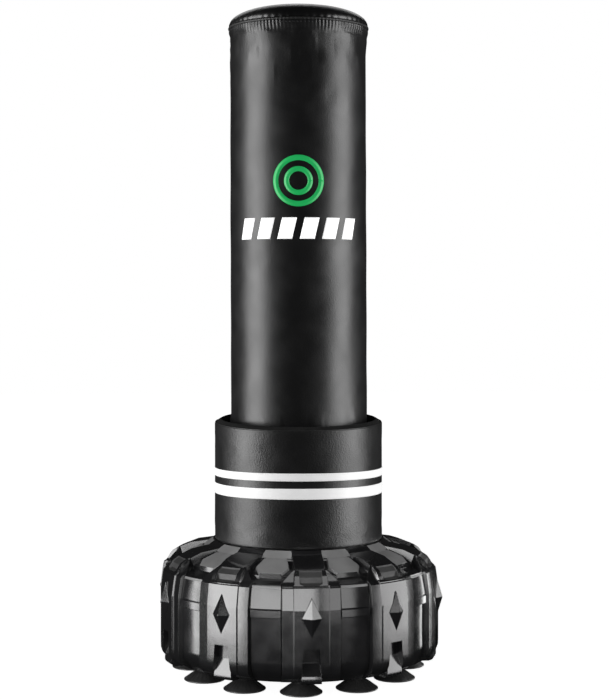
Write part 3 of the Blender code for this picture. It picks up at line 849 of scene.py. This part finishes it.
def polar(angle_deg, radius, z):
    angle = math.radians(angle_deg)
    return (radius * math.cos(angle), radius * math.sin(angle), z)


def same(radius, z, **widths):
    return Level((radius, z), (radius, z), (radius, z), (radius, z), **widths)


DECK_Z = COLLAR_LOW - 0.0006
HUB = dict(inlay_half=0.004, rib_half=0.008, strip_half=0.010, panel_deg=12.0)
DECK = dict(inlay_half=0.014, rib_half=0.0270, strip_half=0.0300)
SIDE = dict(inlay_half=0.0145, rib_half=0.0338, strip_half=0.0562, panel_deg=12.0)


def flat_side(z, rib, strip, groove, panel):
    """A level of the side where all parts stand at one height."""
    return Level((rib, z), (strip, z), (groove, z), (panel, z), **SIDE)


def notched(rib, strip, groove, panel, inlay, rib_half, strip_half, panel_deg):
    """A level of the shoulder where the inlay is the notch in the rib."""
    return Level(rib, strip, groove, panel, inlay, inlay_half=0.0210,
                 rib_half=rib_half, strip_half=strip_half, panel_deg=panel_deg)


def arched(half, inlay, rib, strip, groove, panel):
    """A level of the side where the inlay is the arch at the rib's foot."""
    return Level(rib, strip, groove, panel, inlay, **{**SIDE, "inlay_half": half})


def deck_levels():
    """From inside the collar, down the bevel at its foot and over the pads between the ribs."""
    return [
        same(0.060, DECK_Z, **HUB),
        same(0.1790, DECK_Z, panel_deg=12.6, **DECK),
        Level((0.1880, 0.2640), (0.1880, 0.2640), (0.1965, 0.2570), (0.1990, 0.2552), panel_deg=12.0, **DECK),
        Level((0.1900, 0.2622), (0.1900, 0.2622), (0.1995, 0.2525), (0.2010, 0.2568), panel_deg=11.4, **DECK),
        Level((0.2285, 0.2560), (0.2285, 0.2560), (0.2300, 0.2405), (0.2300, 0.2446), panel_deg=9.9, **DECK),
        Level((0.2520, 0.2465), (0.2512, 0.2462), (0.2460, 0.2310), (0.2452, 0.2352), panel_deg=13.0, **DECK),
        Level((0.2560, 0.2447), (0.2545, 0.2430), (0.2475, 0.2250), (0.2472, 0.2262),
              rib_half=0.0278, strip_half=0.0330, panel_deg=13.0),
    ]


def shoulder_levels():
    """Over the rib's shoulder, where the notch is cut, and down the dark step below the pads."""
    return [
        notched((0.2575, 0.2440), (0.2560, 0.2412), (0.2500, 0.2240), (0.2500, 0.2252), None,
                0.0290, 0.0355, 12.9),
        notched((0.2592, 0.2431), (0.2580, 0.2385), (0.2525, 0.2230), (0.2528, 0.2244), (0.2590, 0.2412),
                0.0300, 0.0385, 12.8),
        notched((0.2690, 0.2368), (0.2650, 0.2318), (0.2590, 0.2205), (0.2595, 0.2222), (0.2690, 0.2342),
                0.0312, 0.0460, 12.6),
        notched((0.2728, 0.2320), (0.2690, 0.2270), (0.2640, 0.2185), (0.2650, 0.2203), (0.2706, 0.2328),
                0.0316, 0.0510, 12.5),
        notched((0.2765, 0.2262), (0.2722, 0.2236), (0.2690, 0.2170), (0.2702, 0.2190), (0.2712, 0.2222),
                0.0320, 0.0550, 12.4),
        notched((0.2790, 0.2216), (0.2758, 0.2208), (0.2718, 0.2160), (0.2735, 0.2184), (0.2775, 0.2206),
                0.0320, 0.0570, 12.3),
        Level((0.2806, 0.2192), (0.2788, 0.2188), (0.2742, 0.2148), (0.2762, 0.2180), **SIDE),
        Level((0.2830, 0.2174), (0.2812, 0.2168), (0.2752, 0.2138), (0.2774, 0.2166), **SIDE),
    ]


def wall_levels():
    """The upright side: a window and a ledge in each panel, and the arch at each rib's foot."""
    arch = [
        (0.0965, 0.0145, 0.2768),
        (0.0860, 0.0152, 0.2767),
        (0.0700, 0.0165, 0.2768),
        (0.0640, 0.0172, 0.2795),
    ]
    levels = [
        Level((0.2838, 0.2158), (0.2826, 0.2152), (0.2756, 0.2118), (0.2772, 0.2142), **SIDE),
        Level((0.2868, 0.2146), (0.2846, 0.2136), (0.2766, 0.2090), (0.2786, 0.2120), **SIDE),
        flat_side(0.1950, 0.2898, 0.2874, 0.2795, 0.2817),
        flat_side(0.1738, 0.2925, 0.2900, 0.2828, 0.2848),
        flat_side(0.1724, 0.2925, 0.2900, 0.2826, 0.2834),
        flat_side(0.1708, 0.2925, 0.2900, 0.2828, 0.2860),
        flat_side(0.1568, 0.2925, 0.2900, 0.2828, 0.2862),
        flat_side(0.1546, 0.2925, 0.2900, 0.2800, 0.2812),
        flat_side(0.1260, 0.2925, 0.2900, 0.2798, 0.2812),
        flat_side(0.0985, 0.2925, 0.2900, 0.2798, 0.2812),
    ]
    for z, half, depth in arch:
        levels.append(arched(half, (depth, z), (0.2925, z), (0.2900, z), (0.2798, z), (0.2812, z)))
    return levels


def foot_levels():
    """Under the ribs, where each arch's floor slopes out to the rib's foot, and round to the flat bottom."""
    low = TANK_LOW + 0.0003
    return [
        arched(0.0180, (0.2835, 0.0550), (0.2920, 0.0540),
               (0.2896, 0.0535), (0.2780, 0.0540), (0.2798, 0.0550)),
        arched(0.0186, (0.2870, 0.0472), (0.2895, 0.0480),
               (0.2875, 0.0470), (0.2750, 0.0480), (0.2770, 0.0490)),
        arched(0.0192, (0.2884, 0.0430), (0.2845, 0.0420),
               (0.2830, 0.0410), (0.2715, 0.0430), (0.2732, 0.0435)),
        arched(0.0198, (0.2884, 0.0360), (0.2780, 0.0375),
               (0.2770, 0.0370), (0.2680, 0.0385), (0.2695, 0.0390)),
        arched(0.0200, (0.2862, 0.0322), (0.2702, 0.0340),
               (0.2698, 0.0338), (0.2640, 0.0335), (0.2650, 0.0340)),
        arched(0.0200, (0.2800, 0.0292), (0.2630, 0.0290),
               (0.2628, 0.0290), (0.2595, 0.0285), (0.2605, 0.0288)),
        arched(0.0174, (0.2620, low), (0.2560, low),
               (0.2558, low), (0.2520, low), (0.2530, low)),
        same(0.060, low, **HUB),
    ]


def whole_row(level):
    """A level's points all the way round."""
    half = level.half_sector()
    sector = [(out, -across, z) for out, across, z in half[:0:-1]] + half[:-1]
    row = []
    for i in range(RIBS):
        turn = Matrix.Rotation(math.radians(i * SECTOR_DEG - 90), 3, "Z")
        row.extend(turn @ Vector(point) for point in sector)
    return row


def add_diamond(points, faces, angle_deg):
    """A long four-sided stud that points outwards from a rib's face, with its edges rounded off."""
    sunk = 0.2895
    face = 0.2924
    tip = 0.3040
    middle_z = 0.158
    half_height = 0.038
    half_width = 0.0192
    turn = Matrix.Rotation(math.radians(angle_deg - 90), 3, "Z")
    rings = [(sunk, 1.05), (face, 1.0), (face + 0.0006, 0.975), (tip - 0.0016, 0.16), (tip - 0.0004, 0.07)]
    start = len(points)
    for out, share in rings:
        for across, up in ((0, 1), (1, 0), (0, -1), (-1, 0)):
            z = middle_z + up * half_height * share
            points.append(turn @ Vector((out, across * half_width * share, z)))
    points.append(turn @ Vector((tip, 0, middle_z)))
    for ring in range(len(rings) - 1):
        for side in range(4):
            a = start + ring * 4 + side
            b = start + ring * 4 + (side + 1) % 4
            faces.append((a, b, b + 4, a + 4))
    last = start + (len(rings) - 1) * 4
    for side in range(4):
        faces.append((last + side, last + (side + 1) % 4, start + len(rings) * 4))
    faces.append(tuple(start + side for side in (3, 2, 1, 0)))


def from_rib(column):
    """How many columns a face is from its rib's middle: 0 beside it and 12 at mid-panel."""
    steps = 13
    place = column % (2 * steps)
    return steps - 1 - place if place < steps else place - steps


def painted_sheen_bands():
    """The rows of faces that the mould grains and that get the lighter grey of a painted sheen, each with the
    columns it spans.
    """
    ring_part = range(8, 13)
    pad = range(10, 13)
    ledge = range(11, 13)
    return {1: ring_part, 3: pad, 4: pad, 14: ledge, 15: ledge}


def recess_bands():
    """The rows of faces inside the notch at each rib's shoulder, which are dull and dark."""
    return {number: range(3) for number in range(7, 13)}


def tank_shell():
    """The moulded shell, row by row from inside the collar down to the flat bottom, and its diamonds."""
    levels = deck_levels() + shoulder_levels() + wall_levels() + foot_levels()
    rows = [whole_row(level) for level in levels]
    columns = len(rows[0])
    points = [point for row in rows for point in row]
    shell = add_mesh("tank_shell", points, closed_faces(rows), TANK_PLASTIC, smooth=False)
    # The second material is the grained plastic whose lighter grey is a painted sheen; the third is the dull
    # plastic in the notches.
    shell.data.materials.append(TANK_SATIN_PAINTED_SHEEN)
    shell.data.materials.append(TANK_RECESS)
    for slot, bands in ((1, painted_sheen_bands()), (2, recess_bands())):
        for number, column_span in bands.items():
            for column in range(columns):
                if from_rib(column) in column_span:
                    shell.data.polygons[number * columns + column].material_index = slot
    face_outward(shell)
    bevel = shell.modifiers.new("soft_edges", "BEVEL")
    bevel.width = 0.0009
    bevel.segments = 2
    bevel.limit_method = "ANGLE"
    bevel.angle_limit = math.radians(22)
    shell.data.shade_smooth()
    shell.data.set_sharp_from_angle(angle=math.radians(40))
    flat = shell.modifiers.new("flat_faces", "WEIGHTED_NORMAL")
    flat.keep_sharp = True
    fitted(shell, "base", "tank", "base_tank")
    points, faces = [], []
    for i in range(RIBS):
        add_diamond(points, faces, i * SECTOR_DEG)
    diamonds = face_outward(add_mesh("tank_diamonds", points, faces, TANK_PLASTIC, smooth=False))
    fitted(diamonds, "base", "tank")


def filler_neck():
    """The raised neck round the filler, at the back of the deck."""
    low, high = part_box("fill_gasket")
    top = low.z - 0.0003
    root = 0.2440
    bore = 0.0186
    profile = [(bore, root + 0.001), (bore, top - 0.001), (0.0194, top), (0.0256, top)]
    profile += arc((0.0256, top - 0.0014), 0.0014, 80, 0, 5)
    profile += [(0.0272, top - 0.009), (0.0300, top - 0.013)]
    profile += [(0.0325, root + 0.004), (0.0325, root), (bore, root)]
    neck = turned("filler_neck", profile, TANK_PLASTIC, steps=64, centre=middle_of(low, high), closed=True)
    fitted(neck, "base", "tank")


def filler_plug():
    """The screw plug: a knurled cap with a grip bar, and a threaded stem below it."""
    low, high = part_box("fill_plug")
    centre = middle_of(low, high)
    cap_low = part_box("fill_gasket")[1].z + 0.0003
    cap_high = cap_low + 0.006

    def knurl(angles, levels):
        on_side = (levels > cap_low + 0.0006) & (levels < cap_high - 0.0018)
        return np.where(on_side, 0.0004 * np.cos(48 * angles), 0.0)

    profile = [(0.0, cap_high), (0.0210, cap_high), (0.0232, cap_high - 0.0006), (0.0248, cap_high - 0.0017)]
    profile += [(0.0256, z) for z in spaced(cap_high - 0.0022, cap_low + 0.0008, 4)]
    profile += [(0.0250, cap_low), (0.0172, cap_low)]
    for turn in range(3):
        z = cap_low - 0.0012 - turn * 0.0035
        profile += [(0.0160, z), (0.0172, z - 0.0010), (0.0172, z - 0.0016), (0.0160, z - 0.0026)]
    profile += [(0.0150, low.z), (0.0, low.z)]
    cap = turned("filler_cap", profile, BLACK_PLASTIC, steps=192, centre=centre, wobble=knurl)
    fitted(cap, "plug", "plug_plastic", "fill_plug")
    plug_grip(centre, cap_high, high.z)


def plug_grip(centre, cap_high, top):
    """The rounded bar across the cap, to turn it by."""
    shape = bmesh.new()
    size = Matrix.Diagonal((0.036, 0.007, top - cap_high + 0.001, 1.0))
    bmesh.ops.create_cube(shape, size=1.0, matrix=size)
    mesh = bpy.data.meshes.new("filler_grip")
    shape.to_mesh(mesh)
    shape.free()
    mesh.materials.append(BLACK_PLASTIC)
    grip = placed("filler_grip", mesh)
    grip.location = (*centre, (top + cap_high) / 2 - 0.0005)
    rounding = grip.modifiers.new("rounding", "BEVEL")
    rounding.width = 0.0014
    rounding.segments = 3
    mesh.shade_smooth()
    fitted(grip, "plug", "plug_plastic")


def filler_gasket():
    """The flat sealing ring under the cap, rounded at its inner and outer edges."""
    low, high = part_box("fill_gasket")
    edge = 0.0010
    outer = (high.x - low.x) / 2 - edge
    middle = (low.z + high.z) / 2
    profile = arc((outer, middle), edge, 80, -80, 7) + arc((0.0196, middle), edge, -100, -260, 7)
    ring = turned("filler_seal", profile, GASKET_RUBBER, steps=72, centre=middle_of(low, high), closed=True)
    fitted(ring, "plug_seal", "gasket_rubber", "fill_gasket")


# ---------------- cups


def suction_cup(node):
    """A suction cup: a neck, a cone with fine moulded ridges, and a thin lip that flares onto the floor."""
    low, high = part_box(node)
    radius = (high.x - low.x) / 2 * 1.003

    def ridges(angles, levels):
        on_cone = np.clip((levels - 0.0045) / 0.003, 0, 1) * np.clip((0.0185 - levels) / 0.004, 0, 1)
        return 0.0005 * on_cone * np.cos(24 * angles)

    profile = [(0.0, high.z), (0.0120, high.z), (0.0134, high.z - 0.0010), (0.0142, high.z - 0.0050)]
    profile += [(0.0152, 0.0200), (0.0185, 0.0182), (0.0235, 0.0150), (0.0285, 0.0115), (0.0330, 0.0082)]
    profile += [(0.0368, 0.0056), (0.0395, 0.0038), (radius - 0.0008, 0.0026)]
    profile += [(radius, 0.0018), (radius - 0.0002, 0.0006), (radius - 0.0012, 0.0)]
    profile += [(0.0380, 0.0008), (0.0320, 0.0035), (0.0220, 0.0070), (0.0, 0.0085)]
    cup = turned(node + "_skin", profile, CUP_RUBBER, centre=middle_of(low, high), wobble=ridges)
    fitted(cup, "base", "cup_rubber", node)


# ---------------- spring


def coil_half(name, lower):
    """Half of the coil spring, below or above the pivot. The coil's first and last turns lie closed."""
    low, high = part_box("main_spring")
    wire = 0.0055
    mean = 0.0365
    turns = 5.5
    per_turn = 28
    span = high.z - low.z - 2 * wire
    end_rise = 2 * wire + 0.0008
    middle_rise = (span - 2 * end_rise) / (turns - 2)
    first = 0.0 if lower else turns / 2
    count = round(turns / 2 * per_turn)
    sides = 12
    rows = []
    for i in range(count + 1):
        at = first + turns / 2 * i / count
        end_turns = min(at, 1.0) + max(at - (turns - 1), 0.0)
        angle = 2 * math.pi * at
        z = low.z + wire + end_turns * end_rise + (at - end_turns) * middle_rise
        out = Vector((math.cos(angle), math.sin(angle), 0.0))
        row = []
        for k in range(sides):
            around = 2 * math.pi * k / sides
            row.append(out * (mean + wire * math.cos(around)) + Vector((0, 0, z + wire * math.sin(around))))
        rows.append(row)
    points = [point for row in rows for point in row]
    return face_outward(add_mesh(name, points, closed_faces(rows), SPRING_STEEL))


def bend_half(half, lower, node):
    """Bake the transform of half of a springy CAD node into its mesh, and hide the node it stands for."""
    if lower:
        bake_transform(half)
    else:
        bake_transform(half)
    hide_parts(node)


def coil_spring():
    """The coil, as two halves on either side of the pivot."""
    for name, lower in (("coil_lower", True), ("coil_upper", False)):
        bend_half(coil_half(name, lower), lower, "main_spring")


def spring_buffer():
    """The rubber buffer inside the coil: two halves that meet at the pivot, with a waist where it bends."""
    low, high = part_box("buffer_core")
    for name, lower in (("buffer_lower", True), ("buffer_upper", False)):
        top, bottom = (PIVOT_Z, low.z) if lower else (high.z, PIVOT_Z)
        profile = [(0.0, top)]
        for z in spaced(top, bottom, 13):
            waist = math.cos(math.pi * (z - PIVOT_Z) / (high.z - low.z)) ** 2
            profile.append((high.x - 0.0008 - 0.0038 * waist, z))
        profile.append((0.0, bottom))
        half = turned(name, profile, BUFFER_RUBBER, steps=48)
        bend_half(half, lower, "buffer_core")


# ---------------- CAD pieces that stay


def finish_cad_pieces():
    """Give the CAD's own pieces their materials."""
    bolts = ["post_cross_bolt", "pole_cross_bolt"] + [f"flange_bolt_{i}" for i in range(1, 5)]
    studs = [f"cup_stud_{i:02d}" for i in range(1, CUPS + 1)]
    rings = ["pole_spacer_lower", "pole_spacer_upper", "collar_base_ring"]
    finishes = {
        BLACK_STEEL: ["post_flange", "base_post", "lower_spring_seat", "upper_spring_seat"],
        TUBE_STEEL: ["bag_pole"],
        ZINC_STEEL: bolts + studs,
        BLACK_PLASTIC: ["pole_end_cap", "bag_core"] + rings,
        PADDING: ["bag_foam", "collar_foam"],
        BOARDING: ["bag_foot_board", "top_board"],
    }
    for material, names in finishes.items():
        for name in names:
            for held in frame["nodes"][name].material_slots:
                held.material = material


# ---------------- stage


def soft_box(name, angle_deg, distance, z, width, height, power, aim_z=0.75, only=None, skip=()):
    """A rectangular light that faces the axis. It lights only the named pieces, or all but the skipped."""
    data = bpy.data.lights.new(name, "AREA")
    data.shape = "RECTANGLE"
    data.size = width
    data.size_y = height
    data.energy = power
    made = placed(name, data)
    made.location = toward(VIEW_DEG + angle_deg, distance, z)
    aim = Vector((0, 0, aim_z)) - made.location
    made.rotation_euler = aim.to_track_quat("-Z", "Y").to_euler()
    lit = bpy.data.collections.new(name + "_lit")
    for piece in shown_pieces():
        if piece.name not in skip and (only is None or piece.name in only):
            lit.objects.link(piece)
    made.light_linking.receiver_collection = lit
    return made


def studio_lights():
    """Two tall soft boxes light the bag and collar. The glossy tank and its cups have their own set."""
    tank = ["tank_shell", "tank_diamonds", "filler_neck"]
    tank += [f"suction_cup_{i:02d}_skin" for i in range(1, CUPS + 1)]
    lights = [
        soft_box("key_left", -74, 2.3, 0.85, 1.45, 3.2, 100, skip=tank),
        soft_box("key_right", 75, 2.3, 0.85, 1.40, 3.2, 84, skip=tank),
        soft_box("overhead", 180, 2.2, 2.6, 2.4, 0.8, 7, aim_z=1.4, only=["bag_cap", "bag_welt", "bag_skin"]),
        soft_box("base_left", -57, 2.3, 0.67, 1.30, 2.1, 96, aim_z=0.67, only=tank),
        soft_box("base_right", 80, 2.3, 0.67, 1.36, 2.1, 56, aim_z=0.67, only=tank),
        soft_box("base_far_left", -90, 2.3, 0.60, 0.32, 2.1, 19, aim_z=0.6, only=tank),
        soft_box("base_far_right", 125, 2.3, 0.60, 0.42, 2.1, 20, aim_z=0.6, only=tank),
        soft_box("base_front", -12, 2.2, 0.27, 2.10, 0.78, 38, aim_z=0.27, only=tank),
        soft_box("base_front_right", 31, 2.2, 0.30, 1.00, 1.00, 11, aim_z=0.30, only=tank),
        soft_box("base_above", 0, 0.9, 1.6, 1.6, 1.0, 14, aim_z=0.2, only=tank),
    ]
    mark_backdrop(*lights)


def pale_floor():
    """A white floor that the camera sees, but that puts no light, reflection or shadow on the bag."""
    made = Shader("pale_floor", (0.9, 0.9, 0.9), 0.85)
    made.vary_colour(made.noise(1.2), (0.90, 0.90, 0.90), (0.93, 0.93, 0.93))
    made.bump(made.noise(60.0), 0.0003, 0.2)
    made.set(Emission_Color=WHITE, Emission_Strength=0.97)
    reach = 9
    corners = [(-reach, -reach, 0), (reach, -reach, 0), (reach, reach, 0), (-reach, reach, 0)]
    floor = add_mesh("floor", corners, [(0, 1, 2, 3)], made.material)
    floor.visible_glossy = False
    floor.visible_diffuse = False
    floor.visible_shadow = False
    floor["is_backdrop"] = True


def studio_world():
    """White to the camera, a faint fill on matt surfaces and nearly black in reflections."""
    world = bpy.data.worlds.new("studio_world")
    bpy.context.scene.world = world
    world.use_nodes = True
    nodes, links = world.node_tree.nodes, world.node_tree.links

    path = nodes.new("ShaderNodeLightPath")

    def glow(made, strength, colour):
        made.inputs["Color"].default_value = colour
        made.inputs["Strength"].default_value = strength
        return made.outputs["Background"]

    def switched(ray, without, with_ray):
        made = nodes.new("ShaderNodeMixShader")
        links.new(path.outputs[ray], made.inputs["Fac"])
        links.new(without, made.inputs[1])
        links.new(with_ray, made.inputs[2])
        return made.outputs["Shader"]

    backdrop = glow(nodes["Background"], 1.0, WHITE)
    fill = glow(nodes.new("ShaderNodeBackground"), 0.08, WHITE)
    dark = glow(nodes.new("ShaderNodeBackground"), 0.02, GREY)
    unseen = switched("Is Glossy Ray", fill, dark)
    links.new(switched("Is Camera Ray", unseen, backdrop), nodes["World Output"].inputs["Surface"])


def photo_camera():
    """The camera stands where the photo's did, level, with the view shifted down."""
    bpy.context.scene.view_settings.view_transform = "Standard"
    data = bpy.data.cameras.new("photo_camera")
    data.sensor_fit = "HORIZONTAL"
    data.sensor_width = 36.0
    data.lens = VIEW_LENS_MM
    data.shift_x, data.shift_y = VIEW_SHIFT
    camera = placed("photo_camera", data)
    camera.location = toward(VIEW_DEG, VIEW_DISTANCE, VIEW_HEIGHT)
    camera.rotation_euler = (math.radians(90), 0, math.radians(VIEW_DEG))
    bpy.context.scene.camera = camera


# ---------------- build

tank_shell()
filler_neck()
filler_gasket()
filler_plug()
for number in range(1, CUPS + 1):
    suction_cup(f"suction_cup_{number:02d}")
collar_sleeve()
collar_rim()
collar_stripe("collar_stripe_upper")
collar_stripe("collar_stripe_lower")
collar_closing()
coil_spring()
spring_buffer()
bag_skin()
bag_cap()
bag_welt()
bag_back_seam()
bag_print()
finish_cad_pieces()
pale_floor()
studio_lights()
studio_world()
photo_camera()
